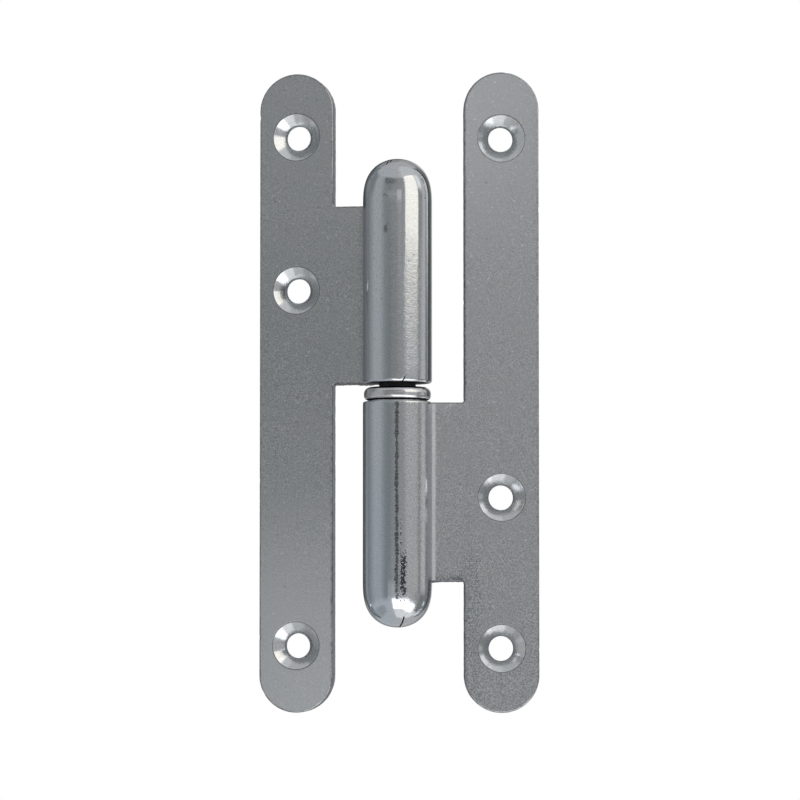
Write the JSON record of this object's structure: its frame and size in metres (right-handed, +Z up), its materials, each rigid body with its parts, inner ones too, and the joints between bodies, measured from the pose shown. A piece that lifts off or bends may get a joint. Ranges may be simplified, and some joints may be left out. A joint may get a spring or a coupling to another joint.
{
  "type": "lift-off pin hinge",
  "caption": "Lift-off pin hinge of zinc-plated sheet steel: tall round-ended leaves with countersunk screw holes, rolled knuckles with closed bullet noses, a pin and a loose ring.",
  "frame": {"origin": "on the pin's axis, at the middle of the leaves' height", "axes": "+Z up along the pin's axis, the way the upper leaf lifts off; +X towards the lower leaf and -Y the way the countersunk faces look, with each leaf sloping 7 degrees back from the XZ plane"},
  "size_m": [0.0612, 0.0158, 0.14],
  "materials": {
    "lower_leaf": "bright zinc plate, satin on the flats and shiny on the knuckle",
    "upper_leaf": "bright zinc plate, satin on the flats and shiny on the knuckle",
    "pin": "turned steel, lightly oiled",
    "bearing_ring": "polished zinc plate"
  },
  "bodies": {
    "frame_half": {"lower_leaf": "lower_leaf", "pin": "pin"},
    "ring": {"bearing_ring": "bearing_ring"},
    "door_half": {"upper_leaf": "upper_leaf"}
  },
  "joints": [
    {"name": "swing", "type": "hinge", "parent": "frame_half", "child": "ring", "pos_m": [0, 0, 0], "axis": [0, 0, 1], "range_deg": [-128, 194]},
    {"name": "lift_off", "type": "slide", "parent": "ring", "child": "door_half", "axis": [0, 0, 1], "range_m": [0, 0.045]}
  ]
}
